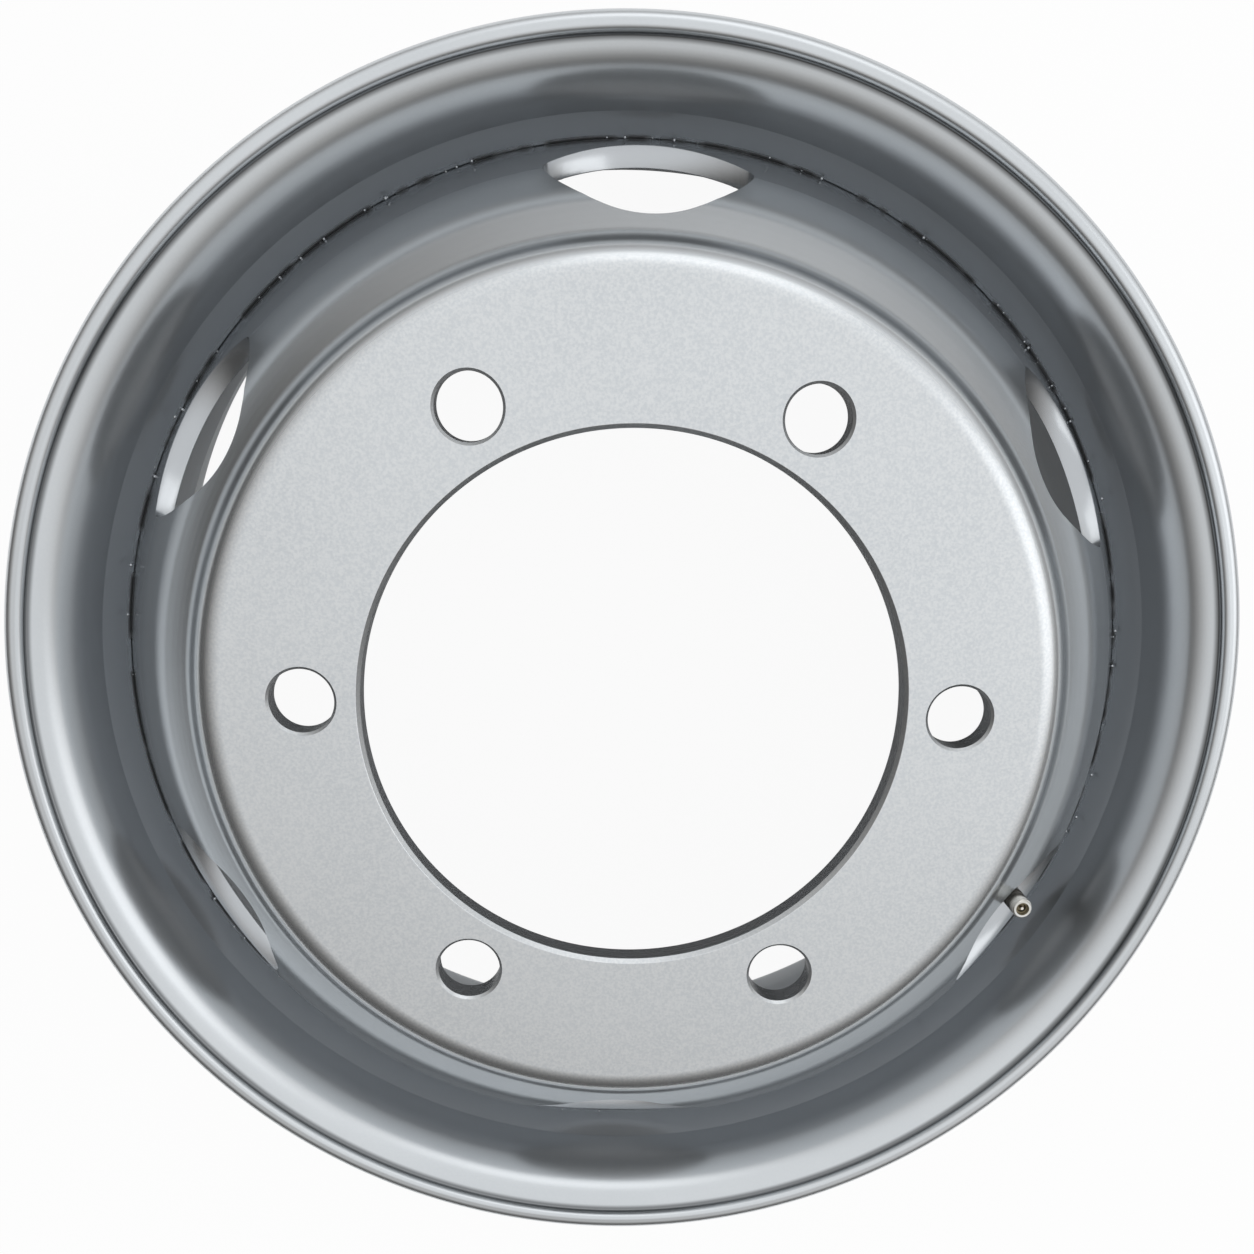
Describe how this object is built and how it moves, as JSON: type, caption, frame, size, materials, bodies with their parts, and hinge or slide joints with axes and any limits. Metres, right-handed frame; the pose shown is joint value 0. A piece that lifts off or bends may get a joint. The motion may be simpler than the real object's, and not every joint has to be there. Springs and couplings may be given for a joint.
{
  "type": "truck wheel",
  "caption": "Steel disc wheel for a light truck: drop-centre rim, welded convex disc with bolt circle, oval vent holes and large centre bore, and a bent tyre valve.",
  "frame": {"origin": "on the axle line, in the plane of the rear flange's end, on which the wheel lies", "axes": "+Z along the axle line towards the convex side of the disc; a vent hole lies on +Y and a bolt hole on +X"},
  "size_m": [0.4698, 0.4698, 0.2088],
  "materials": {
    "silver_paint": "satin silver paint",
    "plated_brass": "nickel plated",
    "bare_brass": "turned",
    "zinc_steel": "zinc plated",
    "black_rubber": "matt"
  },
  "bodies": {
    "wheel": {"rim": "silver_paint", "disc": "silver_paint", "disc_weld": "silver_paint", "valve_stem": "plated_brass", "valve_grommet": "black_rubber", "valve_washer": "zinc_steel", "valve_nut": "zinc_steel", "core_housing": "bare_brass", "core_gasket": "black_rubber", "core_spring": "zinc_steel"},
    "core_pin": {"core_pin": "bare_brass", "core_cup": "black_rubber"}
  },
  "joints": [
    {"name": "core_pin_slide", "type": "slide", "parent": "wheel", "child": "core_pin", "axis": [0, 0, -1], "range_m": [0, 0.0012], "stiffness_N_per_m": 1500, "springref_m": -0.001, "deforming": ["core_spring"]}
  ]
}
